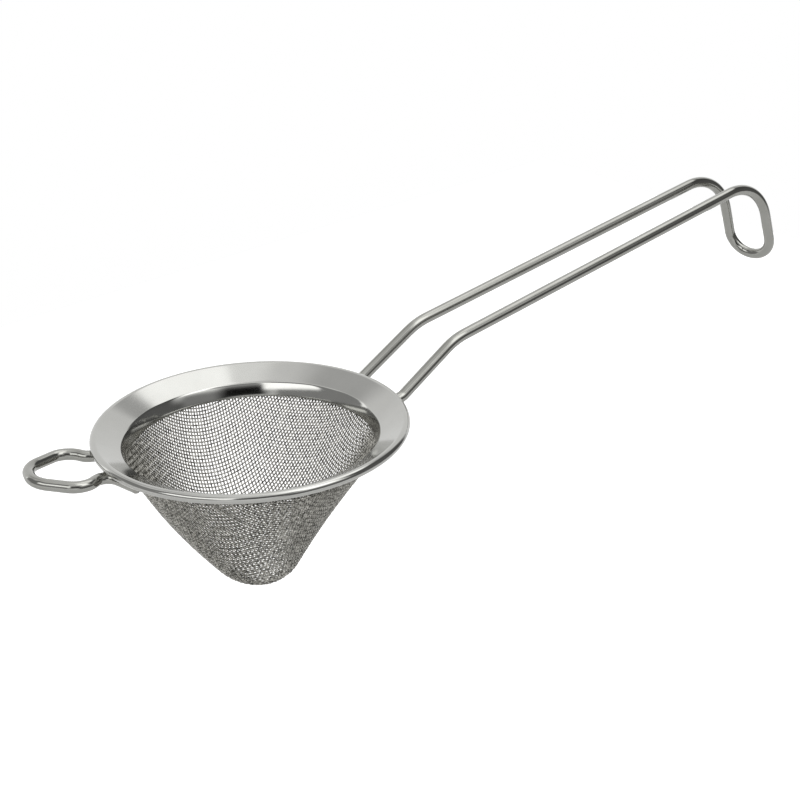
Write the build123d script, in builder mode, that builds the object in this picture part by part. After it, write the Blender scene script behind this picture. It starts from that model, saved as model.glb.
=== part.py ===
from build123d import *
from math import acos, asin, atan2, cos, degrees, hypot, radians, sin, sqrt, tan
import os

# A small conical fine-mesh strainer in stainless steel.
# The origin is the centre of the rim's circle, at the height of the middle of its bead.
# +Z is up along the cone's axis and +X runs out along the handle. All lengths are in mm.

# Rim: a pressed ring with a curled bead, a dished flange and a short collar
rim_radius = 43.0
rim_sheet = 0.5
bead_radius = 1.25
curl_turn = 290.0
flange_width = 6.75
neck_drop = 2.3
neck_bend_radius = 0.8
collar_lean = 22.8
collar_height = 3.7

# Clamped edge of the cloth, between the collar and a narrow ring round it
layer_gap = 0.05
hem_inset = 0.4
band_sheet = 0.5
band_height = 1.5

# Mesh cone: one layer of woven cloth, with fewer and larger meshes than the real one
cloth_thickness = 0.5
cone_depth = 46.5
tip_radius = 13.9
mesh_pitch = 5.0
mesh_bar = 1.5
mesh_margin = 0.4
cut_overrun = 5.0

# Wire that the handle and the rest loop are bent from
wire_radius = 1.6
weld_gap = 0.05
weld_inset = 0.3

# Handle: its rails lie closer together towards the hook
rail_half_gap_rim = 9.0
rail_half_gap_kink = 8.5
rail_half_gap_hook = 7.1
rail_end_gap = 0.15
root_overhang = 2.2
root_bend_radius = 5.0
kink_overhang = 22.4
kink_height = 8.8
kink_bend_radius = 20.0
grip_length = 126.7
grip_rise = 7.4
hook_drop = 29.5
hook_fall = 75.9
hook_bend_radius = 15.6
hook_skew = 1.44
hook_eye_gap = 0.15

# Rest loop: it stands a little off the line opposite the handle, and rises a little outwards
loop_heading = 161.0
loop_rise = 4.0
loop_tip_overhang = 17.2
loop_tip_half_width = 4.7
loop_wide_overhang = 5.2
loop_wide_half_width = 12.2
loop_neck_inset = 0.3
loop_neck_half_width = 4.7
loop_end_inset = 5.9
loop_end_half_width = 12.3
# How much of the shorter run beside it each bend takes: neck, wide part and tip
loop_bend_shares = [0.45, 0.5, 0.42]

# Places that follow from the sizes above
bead_circle = rim_radius - bead_radius
curl_radius = bead_radius - rim_sheet / 2
neck_radius = bead_circle - flange_width
flange_rise = atan2(neck_drop, flange_width) + asin(curl_radius / hypot(flange_width, neck_drop))
cloth_offset = rim_sheet / 2 + layer_gap + cloth_thickness / 2
band_offset = cloth_offset + cloth_thickness / 2 + layer_gap + band_sheet / 2
wire_drop = bead_radius + weld_gap + wire_radius


def on_collar(along, outwards):
    """A point of the collar's section: down its slope from the neck, and out from its middle."""
    lean = radians(collar_lean)
    radius = neck_radius - along * sin(lean) + outwards * cos(lean)
    height = -neck_drop - along * cos(lean) - outwards * sin(lean)
    return radius, height


def cone_section():
    """The cloth's middle line: centre, radius and end angle of the tip's arc, its end, the side's top."""
    top = Vector(*on_collar(collar_height, cloth_offset))
    arc_radius = tip_radius - cloth_thickness / 2
    centre = Vector(0, tip_radius - cone_depth)
    to_top = top - centre
    arc_end = atan2(to_top.Y, to_top.X) - acos(arc_radius / to_top.length)
    leaves = centre + Vector(cos(arc_end), sin(arc_end)) * arc_radius
    return centre, arc_radius, arc_end, leaves, top


def rail_root():
    """Where a rail ends under the flange, and the slope on which it touches the bead from below."""
    band_edge = on_collar(hem_inset, band_offset + band_sheet / 2)[0] + rail_end_gap
    end_reach = sqrt(band_edge**2 - (rail_half_gap_rim - wire_radius) ** 2)
    outwards = hypot(end_reach, rail_half_gap_rim) - neck_radius
    below_flange = rim_sheet / 2 + rail_end_gap + wire_radius
    end_height = outwards * tan(flange_rise) - neck_drop - below_flange / cos(flange_rise)
    bead_reach = sqrt(bead_circle**2 - rail_half_gap_rim**2)
    to_bead = Vector(bead_reach - end_reach, -end_height)
    slope = atan2(to_bead.Y, to_bead.X) - asin(wire_drop / to_bead.length)
    return end_reach, end_height, bead_reach, slope


def rail_points(side):
    """Corners of one rail's middle line, from its welded end to the hook's eye. side is 1 or -1."""
    end_reach, end_height, bead_reach, slope = rail_root()
    root_reach = rim_radius + root_overhang
    root_height = end_height + (root_reach - end_reach) * tan(slope)
    kink = Vector(rim_radius + kink_overhang, 0, kink_height)
    crest = kink + Vector(cos(radians(grip_rise)), 0, sin(radians(grip_rise))) * grip_length
    eye = crest + Vector(cos(radians(hook_fall)), 0, -sin(radians(hook_fall))) * hook_drop
    skew = Vector(-side * hook_skew, side * rail_half_gap_hook, 0)
    return [
        Vector(end_reach, side * rail_half_gap_rim, end_height),
        Vector(root_reach, side * rail_half_gap_rim, root_height),
        kink + Vector(0, side * rail_half_gap_kink, 0),
        crest + skew,
        eye + skew,
    ]


def loop_points(side):
    """Corners of one half of the rest loop, in the loop's own plane, from its welded end outwards."""
    return [
        Vector(rim_radius - loop_end_inset, side * loop_end_half_width),
        Vector(rim_radius - loop_neck_inset, side * loop_neck_half_width),
        Vector(rim_radius + loop_wide_overhang, side * loop_wide_half_width),
        Vector(rim_radius + loop_tip_overhang, side * loop_tip_half_width),
    ]


def bend_radii(corners, shares):
    """Radii of the bends at all but the first and last corner, each from its share of a run."""
    radii = []
    for before, corner, after, share in zip(corners, corners[1:], corners[2:], shares):
        shorter = min((corner - before).length, (after - corner).length)
        turn = radians((corner - before).get_angle(after - corner))
        radii.append(shorter * share / tan(turn / 2))
    return radii


def on_loop_limb(radius):
    """Where the rest loop's welded limb crosses a circle about the cone's axis, in the loop's plane."""
    end, neck = loop_points(1)[:2]
    run = end - neck
    middle = neck.dot(run) / run.length**2
    excess = (neck.length**2 - radius**2) / run.length**2
    return neck + run * (-middle - sqrt(middle**2 - excess))


def end_plane(line):
    """The plane square to a line at its start, where a wire's round section is drawn."""
    return Plane(origin=line @ 0, z_dir=line % 0)


# Rim flange
with BuildPart() as rim_flange:
    with BuildSketch(Plane.XZ):
        with BuildLine():
            curl_top = (bead_circle - curl_radius * sin(flange_rise), curl_radius * cos(flange_rise))
            neck = (neck_radius, -neck_drop)
            FilletPolyline(on_collar(collar_height, 0), neck, curl_top, radius=neck_bend_radius)
            CenterArc((bead_circle, 0), curl_radius, 90 + degrees(flange_rise), -curl_turn)
        trace(line_width=rim_sheet)
    revolve(axis=Axis.Z)
rim_flange.part.label = "rim_flange"

# Mesh cone
with BuildPart() as mesh_cone:
    tip_centre, tip_arc, arc_end, side_start, side_top = cone_section()
    with BuildSketch(Plane.XZ):
        with BuildLine():
            CenterArc(tip_centre, tip_arc, -90, 90 + degrees(arc_end))
            Polyline(side_start, side_top, on_collar(hem_inset, cloth_offset))
        trace(line_width=cloth_thickness)
    revolve(axis=Axis.Z)
    hole = mesh_pitch - mesh_bar
    mesh_reach = side_top.X - mesh_margin
    steps = int(mesh_reach / mesh_pitch)
    rows = [mesh_pitch * step for step in range(-steps, steps + 1)]
    meshes = [
        (x, y) for x in rows for y in rows if hypot(abs(x) + hole / 2, abs(y) + hole / 2) < mesh_reach
    ]
    with BuildSketch(Plane.XY.offset(-cone_depth - cut_overrun)):
        with Locations(*meshes):
            Rectangle(hole, hole)
    extrude(amount=cone_depth + cut_overrun, mode=Mode.SUBTRACT)
mesh_cone.part.label = "mesh_cone"

# Retaining ring that clamps the cloth's edge against the collar
with BuildPart() as retaining_ring:
    with BuildSketch(Plane.XZ):
        with BuildLine():
            Line(on_collar(hem_inset, band_offset), on_collar(hem_inset + band_height, band_offset))
        trace(line_width=band_sheet)
    revolve(axis=Axis.Z)
retaining_ring.part.label = "retaining_ring"

# Handle wire: one wire, bent double
with BuildPart() as handle_wire:
    with BuildLine() as handle_line:
        far_rail = rail_points(1)
        near_rail = rail_points(-1)
        eye_bend_radius = (far_rail[-1] - near_rail[-1]).length / 2 - hook_eye_gap
        bends = [root_bend_radius, kink_bend_radius, hook_bend_radius, eye_bend_radius]
        FilletPolyline(*far_rail, *reversed(near_rail), radius=[*bends, *reversed(bends)])
    with BuildSketch(end_plane(handle_line.line)):
        Circle(wire_radius)
    sweep(path=handle_line.line)
handle_wire.part.label = "handle_wire"

# Rest loop: one wire, bent to an open loop
loop_turn = radians(loop_heading)
loop_tilt = radians(loop_rise)
loop_plane = Plane(
    origin=(0, 0, -wire_drop / cos(loop_tilt) - bead_circle * tan(loop_tilt)),
    x_dir=(cos(loop_turn) * cos(loop_tilt), sin(loop_turn) * cos(loop_tilt), sin(loop_tilt)),
    z_dir=(-cos(loop_turn) * sin(loop_tilt), -sin(loop_turn) * sin(loop_tilt), cos(loop_tilt)),
)
with BuildPart() as rest_loop:
    with BuildLine(loop_plane) as loop_line:
        limbs = [*loop_points(1), *reversed(loop_points(-1))]
        loop_bends = bend_radii(limbs, [*loop_bend_shares, *reversed(loop_bend_shares)])
        FilletPolyline(*[(corner.X, corner.Y) for corner in limbs], radius=loop_bends)
    with BuildSketch(end_plane(loop_line.line)):
        Circle(wire_radius)
    sweep(path=loop_line.line)
rest_loop.part.label = "rest_loop"

# Weld nuggets that hold the handle's rails and the loop's limbs to the bead
bead_fill = Torus(bead_circle, bead_radius)
weld_radius = bead_radius - weld_inset
bead_reach, root_slope = rail_root()[2:]
rail_touch = bead_radius + weld_gap / 2
with BuildPart() as handle_welds:
    with Locations(*[
        (bead_reach + rail_touch * sin(root_slope), side * rail_half_gap_rim, -rail_touch * cos(root_slope))
        for side in (1, -1)
    ]):
        Cylinder(weld_radius, 2 * weld_radius)
    add(bead_fill, mode=Mode.SUBTRACT)
    add(handle_wire.part, mode=Mode.SUBTRACT)
handle_welds.part.label = "handle_welds"

limb = on_loop_limb(bead_circle)
with BuildPart() as loop_welds:
    with Locations(*[
        loop_plane.from_local_coords((limb.X, side * limb.Y, wire_radius + weld_gap / 2))
        for side in (1, -1)
    ]):
        Cylinder(weld_radius, 2 * weld_radius)
    add(bead_fill, mode=Mode.SUBTRACT)
    add(rest_loop.part, mode=Mode.SUBTRACT)
loop_welds.part.label = "loop_welds"

os.makedirs("parts", exist_ok=True)
pieces = [rim_flange, mesh_cone, retaining_ring, handle_wire, rest_loop, handle_welds, loop_welds]
for piece in pieces:
    export_step(piece.part, f"parts/{piece.part.label}.step")
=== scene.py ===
from math import acos, asin, atan2, cos, hypot, pi, radians, sin, sqrt, tan

import bpy
import numpy as np
from mathutils import Matrix, Vector


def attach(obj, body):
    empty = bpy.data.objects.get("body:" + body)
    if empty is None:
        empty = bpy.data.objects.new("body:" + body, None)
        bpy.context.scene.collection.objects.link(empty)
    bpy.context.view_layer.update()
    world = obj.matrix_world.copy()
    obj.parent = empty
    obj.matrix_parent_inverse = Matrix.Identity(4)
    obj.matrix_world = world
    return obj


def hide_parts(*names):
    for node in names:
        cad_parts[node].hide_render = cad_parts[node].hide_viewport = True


# A small conical fine-mesh strainer in stainless steel, on a plain pale floor.
# Lengths are in mm, and become metres where a mesh or the camera is made. Angles are in degrees.
# The sizes are those of part.py, apart from those that a comment gives as the scene's own.

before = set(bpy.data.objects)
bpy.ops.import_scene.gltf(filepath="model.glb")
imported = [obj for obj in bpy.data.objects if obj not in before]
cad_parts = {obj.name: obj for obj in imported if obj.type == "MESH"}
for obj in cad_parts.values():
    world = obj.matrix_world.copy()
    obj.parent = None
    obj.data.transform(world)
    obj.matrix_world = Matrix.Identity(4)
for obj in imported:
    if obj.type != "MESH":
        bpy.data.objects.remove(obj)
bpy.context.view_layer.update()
MM = 0.001

# Rim
rim_radius = 43.0
rim_sheet = 0.5
bead_radius = 1.25
curl_turn = 290.0
flange_width = 6.75
neck_drop = 2.3
neck_bend_radius = 0.8
collar_lean = 22.8
collar_height = 3.7

# The scene's own: a slight curve of the collar, and waves as height, count round the rim and phase
collar_bulge = 0.1
collar_zone = 0.5
pressing_waves = [(0.022, 3, 0.6), (0.012, 7, 2.0), (0.006, 17, 0.0)]
wave_share_at_bead = 0.3

# Clamped edge of the cloth
layer_gap = 0.05
hem_inset = 0.4
band_sheet = 0.5
band_height = 1.5

# Cone of woven cloth
cloth_thickness = 0.5
cone_depth = 46.5
tip_radius = 13.9

# The scene's own: how the cloth hangs off a true cone, and its weave
cloth_inset = 0.2
cloth_lean = 1.7
cloth_swell = 0.5
cloth_lean_towards = (-0.775, 0.631)
hem_bend_radius = 2.0
cloth_pitch = 1.0
cloth_wire = 0.37
cloth_crimp = 0.13
crimp_unevenness = 0.2
crimp_seed = 11
weave_heading = -12.0

# Wire of the handle and of the rest loop
wire_radius = 1.6
weld_gap = 0.05

# Handle
rail_half_gap_rim = 9.0
rail_half_gap_kink = 8.5
rail_half_gap_hook = 7.1
rail_end_gap = 0.15
root_overhang = 2.2
root_bend_radius = 5.0
kink_overhang = 22.4
kink_height = 8.8
kink_bend_radius = 20.0
grip_length = 126.7
grip_rise = 7.4
hook_drop = 29.5
hook_fall = 75.9
hook_bend_radius = 15.6
hook_skew = 1.44
hook_eye_gap = 0.15

# Rest loop
loop_heading = 161.0
loop_rise = 4.0
loop_tip_overhang = 17.2
loop_tip_half_width = 4.7
loop_wide_overhang = 5.2
loop_wide_half_width = 12.2
loop_neck_half_width = 4.7
loop_end_inset = 5.9
loop_end_half_width = 12.3

# The scene's own: the neck lies further in, the limbs run on under the rim, and the bends differ
loop_neck_inset = 1.6
loop_limb_longer = 3.6
loop_bend_shares = [0.5, 0.48, 0.42]

# How finely the shapes are drawn: lengths of runs, angles between points in bends, and counts
sheet_step = 0.5
ring_step = 0.3
rail_step = 1.5
loop_step = 1.0
meridian_step = 0.2
neck_bend_step = 6
bend_step = 3
curl_steps = 96
tip_arc_points = 90
sheet_edge_steps = 6
rim_segments = 384
ring_segments = 256
wire_sides = 40
cloth_sides = 6
cloth_cuts = 2

# Rounded end of a cut wire: each ring's place beyond the end and its radius, as shares of the wire's
cut_end_shares = [(0.1, 0.96), (0.14, 0.82)]

# Places that follow from these, as in part.py
bead_circle = rim_radius - bead_radius
curl_radius = bead_radius - rim_sheet / 2
neck_radius = bead_circle - flange_width
flange_rise = atan2(neck_drop, flange_width) + asin(curl_radius / hypot(flange_width, neck_drop))
cloth_offset = rim_sheet / 2 + layer_gap + cloth_thickness / 2
band_offset = cloth_offset + cloth_thickness / 2 + layer_gap + band_sheet / 2
wire_drop = bead_radius + weld_gap + wire_radius


# Lines
def on_collar(along, outwards):
    """A point of the collar's section, as radius and height."""
    lean = radians(collar_lean)
    radius = neck_radius - along * sin(lean) + outwards * cos(lean)
    height = -neck_drop - along * cos(lean) - outwards * sin(lean)
    return Vector((radius, height))


def rounded(corners, radii, step):
    """Points along a line whose corners are rounded, about step degrees apart in its bends."""
    points = [corners[0]]
    for before, corner, after, radius in zip(corners, corners[1:], corners[2:], radii):
        back = (before - corner).normalized()
        ahead = (after - corner).normalized()
        turn = pi - back.angle(ahead)
        middle = (back + ahead).normalized()
        centre = corner + middle * (radius / cos(turn / 2))
        start = corner + back * (radius * tan(turn / 2)) - centre
        end = corner + ahead * (radius * tan(turn / 2)) - centre
        count = max(2, round(turn / radians(step)))
        for k in range(count + 1):
            share = k / count
            blend = start * sin(turn * (1 - share)) + end * sin(turn * share)
            points.append(centre + blend / sin(turn))
    points.append(corners[-1])
    return points


def stretched(points, longest):
    """The same line as an array, with no run longer than this and no point twice."""
    line = [np.array(points[0], float)]
    for a, b in zip(points, points[1:]):
        a, b = np.array(a, float), np.array(b, float)
        length = np.linalg.norm(b - a)
        if length < 1e-6:
            continue
        count = max(1, int(np.ceil(length / longest)))
        line += [a + (b - a) * k / count for k in range(1, count + 1)]
    return np.array(line)


def unit(vectors):
    """The same vectors at length 1."""
    return vectors / np.maximum(np.linalg.norm(vectors, axis=-1, keepdims=True), 1e-12)


def carried(line):
    """Normals that turn with a line without twisting about it."""
    tangent = unit(np.gradient(line, axis=0))
    off_the_line = [0.3, 0.5, 0.8]
    normal = np.cross(tangent[0], off_the_line)
    normals = [normal]
    for t in tangent[1:]:
        normal = normal - t * (normal @ t)
        normal = normal / np.linalg.norm(normal)
        normals.append(normal)
    return np.array(normals)


def sheet_outline(line, thickness):
    """The closed outline of a sheet of this thickness round its middle line, with round edges."""
    tangent = unit(np.gradient(line, axis=0))
    side = np.stack([-tangent[:, 1], tangent[:, 0]], 1) * thickness / 2
    turns = (np.arange(1, sheet_edge_steps) * pi / sheet_edge_steps)[:, None]
    last_edge = line[-1] + np.cos(turns) * side[-1] + np.sin(turns) * tangent[-1] * thickness / 2
    first_edge = line[0] - np.cos(turns) * side[0] - np.sin(turns) * tangent[0] * thickness / 2
    return np.vstack([line + side, last_edge, (line - side)[::-1], first_edge])


# Meshes
def make_mesh(name, points, quads, others=()):
    """A smooth mesh from points in mm, an array of quads and a list of other faces."""
    mesh = bpy.data.meshes.new(name)
    counts = [4] * len(quads) + [len(face) for face in others]
    corners = np.concatenate([np.asarray(quads).ravel(), *[np.asarray(face) for face in others]])
    starts = np.concatenate([[0], np.cumsum(counts)[:-1]])
    mesh.vertices.add(len(points))
    mesh.vertices.foreach_set("co", (np.asarray(points) * MM).astype(np.float32).ravel())
    mesh.loops.add(len(corners))
    mesh.loops.foreach_set("vertex_index", corners.astype(np.int32))
    mesh.polygons.add(len(counts))
    mesh.polygons.foreach_set("loop_start", starts.astype(np.int32))
    mesh.update(calc_edges=True)
    mesh.validate()
    mesh.polygons.foreach_set("use_smooth", [True] * len(mesh.polygons))
    return mesh


def add_piece(name, mesh, material, slot, *nodes):
    """Puts a mesh in the scene in place of the CAD nodes that it stands for."""
    piece = bpy.data.objects.new(name, mesh)
    bpy.context.scene.collection.objects.link(piece)
    piece.data.materials.append(material)
    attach(piece, "root")
    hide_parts(*nodes)


def spun(name, outline, segments, wobble=None):
    """A closed section, as points of radius and height, turned about the cone's axis."""
    outline = np.array(outline, float)
    angles = np.arange(segments) * 2 * pi / segments
    radius = np.broadcast_to(outline[:, 0], (segments, len(outline))).copy()
    height = np.broadcast_to(outline[:, 1], (segments, len(outline))).copy()
    if wobble:
        d_radius, d_height = wobble(angles[:, None], radius, height)
        radius += d_radius
        height += d_height
    across, along = radius * np.cos(angles)[:, None], radius * np.sin(angles)[:, None]
    points = np.stack([across, along, height], -1)
    a = np.arange(segments)[:, None] * len(outline)
    b = np.roll(np.arange(segments), -1)[:, None] * len(outline)
    k = np.arange(len(outline))[None]
    n = np.roll(k, -1, axis=1)
    quads = np.stack([a + k, b + k, b + n, a + n], -1).reshape(-1, 4)
    return make_mesh(name, points.reshape(-1, 3), quads)


def tubes(lines, normals, radius, sides, end_shares=()):
    """Points, quads and end faces of round tubes along lines, with an added ring per end share."""
    all_points, all_quads, all_ends = [], [], []
    around = np.arange(sides) * 2 * pi / sides
    first = 0
    for line, normal in zip(lines, normals):
        tangent = unit(np.gradient(line, axis=0))
        across = unit(np.cross(tangent, normal))
        up = np.cross(across, tangent)
        radii = np.full(len(line), radius)
        for beyond, share in end_shares:
            before = line[:1] - tangent[:1] * beyond * radius
            after = line[-1:] + tangent[-1:] * beyond * radius
            line = np.vstack([before, line, after])
            tangent, across, up = [np.vstack([v[:1], v, v[-1:]]) for v in (tangent, across, up)]
            radii = np.r_[share * radius, radii, share * radius]
        ring = (
            np.cos(around)[None, :, None] * up[:, None]
            + np.sin(around)[None, :, None] * across[:, None]
        )
        points = line[:, None] + ring * radii[:, None, None]
        rows = first + np.arange(len(line) - 1)[:, None] * sides
        a = rows + np.arange(sides)[None]
        b = rows + np.roll(np.arange(sides), -1)[None]
        all_points.append(points.reshape(-1, 3))
        all_quads.append(np.stack([a, a + sides, b + sides, b], -1).reshape(-1, 4))
        last = first + (len(line) - 1) * sides
        all_ends += [np.arange(first, first + sides), np.arange(last, last + sides)[::-1]]
        first = last + sides
    return np.concatenate(all_points), np.concatenate(all_quads), all_ends


def wire_mesh(name, line):
    """One round wire with cut ends along a middle line."""
    return make_mesh(name, *tubes([line], [carried(line)], wire_radius, wire_sides, cut_end_shares))


# Materials
def feed(tree, socket, value):
    """Links an output to this input, or sets the input to a plain value."""
    if isinstance(value, bpy.types.NodeSocket):
        tree.links.new(value, socket)
    else:
        socket.default_value = value


def node(tree, kind, **values):
    """A new node. Names that start with in_ are its inputs, and the others are its settings."""
    made = tree.nodes.new(kind)
    for key, value in values.items():
        if key.startswith("in_"):
            feed(tree, made.inputs[key[3:].replace("_", " ")], value)
        else:
            setattr(made, key, value)
    return made


def maths(tree, operation, *values, use_clamp=False):
    """The value that a maths node makes of these values."""
    made = node(tree, "ShaderNodeMath", operation=operation, use_clamp=use_clamp)
    for socket, value in zip(made.inputs, values):
        feed(tree, socket, value)
    return made.outputs["Value"]


def mixed(tree, factor, a, b, data_type="FLOAT"):
    """A mix of two numbers or colours, where 0 gives a and 1 gives b."""
    made = node(tree, "ShaderNodeMix", data_type=data_type, in_Factor=factor, in_A=a, in_B=b)
    return made.outputs["Result"]


def spread(tree, value, low, high, to_low=0.0, to_high=1.0, **settings):
    """A value's range from low to high, stretched or squeezed to another."""
    ends = dict(in_From_Min=low, in_From_Max=high, in_To_Min=to_low, in_To_Max=to_high)
    return node(tree, "ShaderNodeMapRange", **settings, **ends, in_Value=value).outputs["Result"]


def new_material(name):
    """A material, its node tree and its main shader."""
    material = bpy.data.materials.new(name)
    material.use_nodes = True
    tree = material.node_tree
    return material, tree, tree.nodes["Principled BSDF"]


# Steel: the parts of the noises that tint and marks are spread over, and the depth of the marks in m
tint_range = (0.35, 0.65)
marks_range = (0.3, 0.7)
marks_depth = 0.00002


def steel(name, colour, dark, roughness, grain_scale, bump, mottle=90.0):
    """Stainless steel: colour that varies a little, and fine marks in its shine and surface."""
    material, tree, shader = new_material(name)
    place = node(tree, "ShaderNodeTexCoord").outputs["Object"]
    grain = node(tree, "ShaderNodeMapping", in_Vector=place, in_Scale=grain_scale).outputs["Vector"]
    broad = node(tree, "ShaderNodeTexNoise", in_Vector=place, in_Scale=mottle, in_Detail=3.0)
    fine = node(
        tree, "ShaderNodeTexNoise", in_Vector=grain, in_Scale=1.0, in_Detail=5.0, in_Roughness=0.65
    )
    patches = spread(tree, broad.outputs["Fac"], *tint_range)
    tint = mixed(tree, patches, (*dark, 1), (*colour, 1), data_type="RGBA")
    rough = spread(tree, fine.outputs["Fac"], *marks_range, *roughness)
    marks = node(tree, "ShaderNodeBump", in_Strength=bump, in_Distance=marks_depth)
    feed(tree, marks.inputs["Height"], fine.outputs["Fac"])
    feed(tree, shader.inputs["Base Color"], tint)
    feed(tree, shader.inputs["Roughness"], rough)
    feed(tree, shader.inputs["Normal"], marks.outputs["Normal"])
    feed(tree, shader.inputs["Metallic"], 1.0)
    return material


rim_steel = steel(
    "polished_rim_steel",
    colour=(0.485, 0.485, 0.465),
    dark=(0.455, 0.455, 0.435),
    roughness=(0.07, 0.13),
    grain_scale=(900, 900, 3000),
    bump=0.06,
)
wire_steel = steel(
    "drawn_wire_steel",
    colour=(0.37, 0.37, 0.348),
    dark=(0.325, 0.325, 0.303),
    roughness=(0.09, 0.15),
    grain_scale=(300, 3500, 3500),
    bump=0.05,
)
cloth_steel = steel(
    "woven_wire_steel",
    colour=(0.52, 0.51, 0.47),
    dark=(0.10, 0.098, 0.086),
    roughness=(0.08, 0.17),
    grain_scale=(2500, 2500, 2500),
    bump=0.1,
    mottle=1000.0,
)
weld_steel = steel(
    "weld_steel",
    colour=(0.33, 0.31, 0.28),
    dark=(0.18, 0.16, 0.14),
    roughness=(0.30, 0.55),
    grain_scale=(2500, 2500, 2500),
    bump=0.5,
)

# Rim flange: a sheet section with rounded edges, turned about the axis
flange_neck = Vector((neck_radius, -neck_drop))
curl_top = Vector((bead_circle - curl_radius * sin(flange_rise), curl_radius * cos(flange_rise)))
rim_corners = [on_collar(collar_height, 0), flange_neck, curl_top]
rim_line = rounded(rim_corners, [neck_bend_radius], neck_bend_step)
for k in range(1, curl_steps + 1):
    angle = pi / 2 + flange_rise - radians(curl_turn) * k / curl_steps
    rim_line.append(Vector((bead_circle + curl_radius * cos(angle), curl_radius * sin(angle))))
rim_outline = sheet_outline(stretched(rim_line, sheet_step), rim_sheet)


def pressed(angle, radius, height):
    """The collar's slight curve, and the small waves that pressing leaves in the rim's sheet."""
    inside = np.clip((rim_radius - bead_radius - radius) / flange_width, 0, 1)
    wave = sum(size * np.sin(count * angle + phase) for size, count, phase in pressing_waves)
    wave = wave * (wave_share_at_bead + (1 - wave_share_at_bead) * inside)
    low = on_collar(collar_height, 0)[1]
    down = np.clip((height + neck_drop) / (low + neck_drop), 0, 1)
    bulge = collar_bulge * 4 * down * (1 - down) * (radius < neck_radius + collar_zone)
    return -bulge, wave


rim_mesh = spun("rim", rim_outline, rim_segments, pressed)
add_piece("rim_flange_polished", rim_mesh, rim_steel, "rim_steel", "rim_flange")

# Retaining ring
ring_ends = [on_collar(hem_inset, band_offset), on_collar(hem_inset + band_height, band_offset)]
ring_outline = sheet_outline(stretched(ring_ends, ring_step), band_sheet)
ring_mesh = spun("ring", ring_outline, ring_segments)
add_piece("retaining_ring_rolled", ring_mesh, rim_steel, "rim_steel", "retaining_ring")


# Handle
def rail_root():
    """Where a rail ends under the flange, and its slope where it touches the bead, as in part.py."""
    band_edge = on_collar(hem_inset, band_offset + band_sheet / 2)[0] + rail_end_gap
    end_reach = sqrt(band_edge**2 - (rail_half_gap_rim - wire_radius) ** 2)
    outwards = hypot(end_reach, rail_half_gap_rim) - neck_radius
    below_flange = rim_sheet / 2 + rail_end_gap + wire_radius
    end_height = outwards * tan(flange_rise) - neck_drop - below_flange / cos(flange_rise)
    reach = sqrt(bead_circle**2 - rail_half_gap_rim**2) - end_reach
    slope = atan2(-end_height, reach) - asin(wire_drop / hypot(reach, -end_height))
    return end_reach, end_height, slope


def rail_points(side):
    """Corners of one rail's middle line, from its welded end to the hook's eye. side is 1 or -1."""
    end_reach, end_height, slope = rail_root()
    root_reach = rim_radius + root_overhang
    root_height = end_height + (root_reach - end_reach) * tan(slope)
    kink = Vector((rim_radius + kink_overhang, 0, kink_height))
    crest = kink + Vector((cos(radians(grip_rise)), 0, sin(radians(grip_rise)))) * grip_length
    eye = crest + Vector((cos(radians(hook_fall)), 0, -sin(radians(hook_fall)))) * hook_drop
    skew = Vector((-side * hook_skew, side * rail_half_gap_hook, 0))
    return [
        Vector((end_reach, side * rail_half_gap_rim, end_height)),
        Vector((root_reach, side * rail_half_gap_rim, root_height)),
        kink + Vector((0, side * rail_half_gap_kink, 0)),
        crest + skew,
        eye + skew,
    ]


far_rail, near_rail = rail_points(1), rail_points(-1)
eye_bend_radius = (far_rail[-1] - near_rail[-1]).length / 2 - hook_eye_gap
bends = [root_bend_radius, kink_bend_radius, hook_bend_radius, eye_bend_radius]
handle_line = rounded([*far_rail, *reversed(near_rail)], [*bends, *reversed(bends)], bend_step)
handle_mesh = wire_mesh("handle", stretched(handle_line, rail_step))
add_piece("handle_wire_polished", handle_mesh, wire_steel, "wire_steel", "handle_wire")

# Rest loop
turn, tilt = radians(loop_heading), radians(loop_rise)
loop_origin = Vector((0, 0, -wire_drop / cos(tilt) - bead_circle * tan(tilt)))
loop_x = Vector((cos(turn) * cos(tilt), sin(turn) * cos(tilt), sin(tilt)))
loop_y = Vector((-cos(turn) * sin(tilt), -sin(turn) * sin(tilt), cos(tilt))).cross(loop_x)


def loop_points(side):
    """Corners of one half of the rest loop, in its own plane, from its welded end outwards."""
    neck = Vector((rim_radius - loop_neck_inset, side * loop_neck_half_width))
    end = Vector((rim_radius - loop_end_inset, side * loop_end_half_width))
    return [
        end + (end - neck).normalized() * loop_limb_longer,
        neck,
        Vector((rim_radius + loop_wide_overhang, side * loop_wide_half_width)),
        Vector((rim_radius + loop_tip_overhang, side * loop_tip_half_width)),
    ]


limbs = [*loop_points(1), *reversed(loop_points(-1))]
bend_shares = [*loop_bend_shares, *reversed(loop_bend_shares)]
loop_bends = []
for before, corner, after, share in zip(limbs, limbs[1:], limbs[2:], bend_shares):
    shorter = min((corner - before).length, (after - corner).length)
    loop_bends.append(shorter * share / tan((corner - before).angle(after - corner) / 2))
loop_corners = [loop_origin + loop_x * corner.x + loop_y * corner.y for corner in limbs]
loop_mesh = wire_mesh("loop", stretched(rounded(loop_corners, loop_bends, bend_step), loop_step))
add_piece("rest_loop_polished", loop_mesh, wire_steel, "wire_steel", "rest_loop")

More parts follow.
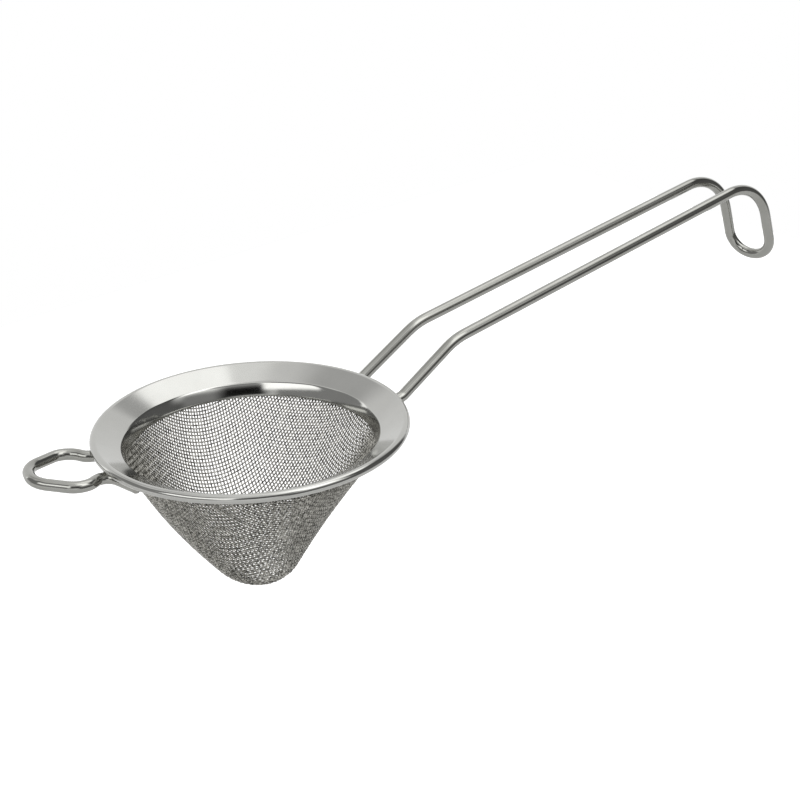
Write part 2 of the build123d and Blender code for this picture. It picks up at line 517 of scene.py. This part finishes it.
# Woven cloth. Its meridian is a table of radius, height and direction over the length from the tip.
# It runs on past the hem, so that every crossing of the net has a place.
past_hem = 8
side_top = on_collar(collar_height, cloth_offset)
arc_radius = tip_radius - cloth_thickness / 2
arc_height = tip_radius - cone_depth + cloth_inset
to_top = side_top - Vector((0, arc_height))
arc_end = atan2(to_top[1], to_top[0]) - acos(arc_radius / to_top.length)
tip_arc = [
    Vector((arc_radius * cos(a), arc_height + arc_radius * sin(a)))
    for a in np.linspace(-pi / 2, arc_end, tip_arc_points)
]
hem_top = on_collar(hem_inset, cloth_offset)
beyond_hem = side_top + (hem_top - side_top) * past_hem
cloth_side = rounded([tip_arc[-1], side_top, beyond_hem], [hem_bend_radius], bend_step)
meridian = stretched([*tip_arc, *cloth_side], meridian_step)
meridian_length = np.r_[0, np.cumsum(np.linalg.norm(np.diff(meridian, axis=0), axis=1))]
hem_length = float(np.interp(hem_top[1], meridian[:, 1], meridian_length))
meridian_slope = unit(np.gradient(meridian, axis=0))

# How the net settles: rounds, and the shares of a bend and of a wire's stretch that each takes out
net_rounds = 500
bend_share = 0.2
pull_rounds = 2
pull_share = 0.5


def on_meridian(length):
    """Radius, height and slope of the cloth at a length from the tip."""
    values = [meridian[:, 0], meridian[:, 1], meridian_slope[:, 0], meridian_slope[:, 1]]
    return [np.interp(length, meridian_length, v) for v in values]


def on_cloth(length, azimuth):
    """The cloth's point at a length from the tip and an angle about the axis."""
    radius, height, _, _ = on_meridian(length)
    return np.stack([radius * np.cos(azimuth), radius * np.sin(azimuth), height], -1)


def laid_net():
    """First places of the net's crossings: a flat square net with each quarter wrapped on its own."""
    half = int(hem_length / cloth_pitch) + 2
    steps = np.arange(-half, half + 1)
    i, j = np.meshgrid(steps, steps, indexing="ij")
    flat = np.hypot(i, j) * cloth_pitch
    heading = np.arctan2(j, i)
    quarter = np.floor(heading / (pi / 2)) * (pi / 2) + pi / 4
    off = heading - quarter
    radius = on_meridian(flat)[0]
    turn = (pi / 4) * radius / np.maximum(flat, 1e-6)
    turn[half, half] = pi / 4
    length = sqrt(2) * flat * np.hypot(np.cos(turn) * np.cos(off), np.sin(turn) * np.sin(off))
    azimuth = quarter + np.arctan(np.tan(turn) * np.tan(off)) * (pi / 4) / turn
    return length, azimuth


def draped_net():
    """Crossings of the weave, pressed into the cone from a flat net without stretching its wires."""
    length, azimuth = laid_net()
    points = on_cloth(length, azimuth)
    for _ in range(net_rounds):
        moved = points.copy()
        for axis in (0, 1):
            p = np.moveaxis(points, axis, 0)
            m = np.moveaxis(moved, axis, 0)
            m[1:-1] += bend_share * (p[2:] + p[:-2] - 2 * p[1:-1])
        points = moved
        for _ in range(pull_rounds):
            shift = np.zeros_like(points)
            for axis in (0, 1):
                p = np.moveaxis(points, axis, 0)
                s = np.moveaxis(shift, axis, 0)
                gap = p[1:] - p[:-1]
                size = np.linalg.norm(gap, axis=-1, keepdims=True)
                pull = gap * (1 - cloth_pitch / np.maximum(size, 1e-6)) / 2
                s[:-1] += pull
                s[1:] -= pull
            points = points + shift * pull_share
        radius, height, slope_r, slope_z = on_meridian(length)
        reach = np.hypot(points[..., 0], points[..., 1])
        length = length + (reach - radius) * slope_r + (points[..., 2] - height) * slope_z
        length = np.clip(length, 0, meridian_length[-1])
        azimuth = np.arctan2(points[..., 1], points[..., 0])
        points = on_cloth(length, azimuth)
    return length, azimuth, points


def cloth_lines(family, length, azimuth, points):
    """Middle lines of one family of wires with their crimps, and the cloth's normals along them."""
    turn = radians(weave_heading)
    _, _, slope_r, slope_z = on_meridian(length)
    normal = np.stack([slope_z * np.cos(azimuth), slope_z * np.sin(azimuth), -slope_r], -1)
    rotate = np.array([[cos(turn), sin(turn), 0], [-sin(turn), cos(turn), 0], [0, 0, 1]])
    points, normal = points @ rotate, normal @ rotate
    down = np.clip((side_top[1] - points[..., 2]) / (side_top[1] + cone_depth), 0, 1)
    bow = np.sin(pi * down)[..., None]
    outwards = unit(points * [1, 1, 0])
    lean = cloth_lean * np.array([*cloth_lean_towards, 0])
    points = points + bow * (lean + cloth_swell * outwards)
    if family:
        points, normal, length = points.transpose(1, 0, 2), normal.transpose(1, 0, 2), length.T
    lines, normals = [], []
    chance = np.random.default_rng(crimp_seed + family)
    sign = -1 if family else 1
    whole = np.arange(len(length))
    for row in whole:
        inside = np.flatnonzero(length[row] < hem_length)
        if len(inside) < 3:
            continue
        a, b = inside[0], inside[-1]
        at = np.arange(a * cloth_cuts, b * cloth_cuts + 1) / cloth_cuts
        line = np.stack([np.interp(at, whole, points[row, :, c]) for c in range(3)], 1)
        out = unit(np.stack([np.interp(at, whole, normal[row, :, c]) for c in range(3)], 1))
        uneven = np.interp(at, whole, chance.normal(1.0, crimp_unevenness, len(whole)))
        crimp = cloth_crimp * uneven * np.cos(pi * (at + row)) * sign
        lines.append(line + out * crimp[:, None])
        normals.append(out)
    return lines, normals


net = draped_net()
for family, name in enumerate(["cloth_warp_wires", "cloth_weft_wires"]):
    mesh = make_mesh(name, *tubes(*cloth_lines(family, *net), cloth_wire / 2, cloth_sides))
    add_piece(name, mesh, cloth_steel, "cloth_steel", "mesh_cone")

# Welds: the CAD nuggets, in a darker steel
for name in ("handle_welds", "loop_welds"):
    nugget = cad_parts[name]
    nugget.data.materials.clear()
    nugget.data.materials.append(weld_steel)

# Floor: it glows, less in the steel than for the camera, and can't be seen from below
floor_drop = 150.0
floor_middle = 70.0
floor_reach = 450.0
floor_shade = (0.9, 0.9, 0.9, 1)
floor_roughness = 0.9
floor_glow = 0.6
floor_glow_in_steel = 0.15
corner_signs = [(-1, -1), (1, -1), (1, 1), (-1, 1)]
floor_mesh = make_mesh(
    "floor",
    [(floor_middle + x * floor_reach, y * floor_reach, -floor_drop) for x, y in corner_signs],
    [[0, 1, 2, 3]],
)
floor = bpy.data.objects.new("floor", floor_mesh)
bpy.context.scene.collection.objects.link(floor)
material, tree, shader = new_material("pale_floor")
feed(tree, shader.inputs["Base Color"], floor_shade)
feed(tree, shader.inputs["Roughness"], floor_roughness)
path = node(tree, "ShaderNodeLightPath").outputs
in_steel = maths(tree, "ADD", path["Is Glossy Ray"], path["Is Transmission Ray"], use_clamp=True)
steel_glow = maths(tree, "MULTIPLY", in_steel, floor_glow_in_steel)
strength = mixed(tree, path["Is Camera Ray"], steel_glow, floor_glow)
glow = node(tree, "ShaderNodeEmission", in_Strength=strength)
from_above = node(tree, "ShaderNodeAddShader")
feed(tree, from_above.inputs[0], shader.outputs["BSDF"])
feed(tree, from_above.inputs[1], glow.outputs["Emission"])
underside = node(tree, "ShaderNodeNewGeometry").outputs["Backfacing"]
shown = node(tree, "ShaderNodeMixShader", in_Fac=underside)
feed(tree, shown.inputs[1], from_above.outputs["Shader"])
feed(tree, shown.inputs[2], node(tree, "ShaderNodeBsdfTransparent").outputs["BSDF"])
feed(tree, tree.nodes["Material Output"].inputs["Surface"], shown.outputs["Shader"])
material.cycles.emission_sampling = "NONE"
floor.data.materials.append(material)

# World: white for the camera, and a soft studio for light and reflections. Each panel of the studio
# has the azimuth of its middle, its half width, its lowest and highest elevation, the half width of
# its soft edge, all in degrees, and its brightness. Later panels lie over earlier ones.
studio_white = 1.0
studio_light = 0.4
studio_light_in_steel = 1.0
studio_panels = [
    (-68, 36, 30, 80, 7, 1.6),
    (-62, 20, 36, 78, 5, 2.5),
    (-22, 30, -14, 50, 6, 0.13),
    (10, 30, 49, 90, 3, 1.85),
    (60, 22, 66, 90, 8, 1.3),
    (95, 12, 36, 64, 6, 0.66),
    (22, 8, 38, 47, 3, 0.62),
    (-62, 44, -16, 21, 8, 0.16),
    (-82, 20, 8, 26, 5, 0.33),
    (-120, 22, 8, 32, 8, 0.01),
    (-112, 24, 34, 48, 5, 0.24),
    (175, 36, -5, 62, 6, 0.35),
    (-166, 27, 21, 42, 3, 2.2),
    (138, 22, 2, 44, 6, 0.35),
    (115, 4, 0, 22, 1.5, 1.6),
]
world = bpy.data.worlds.new("studio")
bpy.context.scene.world = world
world.use_nodes = True
tree = world.node_tree
seen_from = node(tree, "ShaderNodeTexCoord").outputs["Generated"]
direction = node(tree, "ShaderNodeSeparateXYZ", in_Vector=seen_from).outputs
azimuth = maths(tree, "ARCTAN2", direction["Y"], direction["X"])
elevation = maths(tree, "ARCSINE", direction["Z"])


def below(value, edge, soft):
    """1 where an angle is less than an edge and 0 where it is more, with a smooth step between."""
    low, high = radians(edge - soft), radians(edge + soft)
    return spread(tree, value, low, high, 1.0, 0.0, interpolation_type="SMOOTHSTEP")


def above(value, edge, soft):
    """The same the other way round."""
    low, high = radians(edge - soft), radians(edge + soft)
    return spread(tree, value, low, high, 0.0, 1.0, interpolation_type="SMOOTHSTEP")


def panel(under, middle, half, low, high, soft, level):
    """A soft-edged part of the studio, laid over what is there."""
    away = maths(tree, "WRAP", maths(tree, "SUBTRACT", azimuth, radians(middle)), pi, -pi)
    shape = below(maths(tree, "ABSOLUTE", away), half, soft)
    shape = maths(tree, "MULTIPLY", shape, above(elevation, low, soft))
    shape = maths(tree, "MULTIPLY", shape, below(elevation, high, soft))
    return mixed(tree, shape, under, level)


path = node(tree, "ShaderNodeLightPath").outputs
studio = mixed(tree, path["Is Glossy Ray"], studio_light, studio_light_in_steel)
for values in studio_panels:
    studio = panel(studio, *values)
white = maths(tree, "ADD", path["Is Camera Ray"], path["Is Transmission Ray"], use_clamp=True)
background = tree.nodes["Background"]
feed(tree, background.inputs["Color"], (1, 1, 1, 1))
feed(tree, background.inputs["Strength"], mixed(tree, white, studio, studio_white))

# Camera: its place, heading and lens were fitted to the photo
camera_place = (-282.887, -427.156, 238.889)
lens_length, sensor_width = 94.5, 36.0
forward = Vector((0.5608380, 0.7165714, -0.4147122))
right = Vector((0.7745812, -0.6310232, -0.0428214))
lens = bpy.data.cameras.new("camera")
lens.lens, lens.sensor_width = lens_length, sensor_width
lens.clip_start, lens.clip_end = 0.01, 100.0
camera = bpy.data.objects.new("camera", lens)
bpy.context.scene.collection.objects.link(camera)
pose = Matrix((right, right.cross(forward), -forward)).transposed().to_4x4()
pose.translation = Vector(camera_place) * MM
camera.matrix_world = pose
bpy.context.scene.camera = camera
bpy.context.scene.view_settings.view_transform = "Standard"
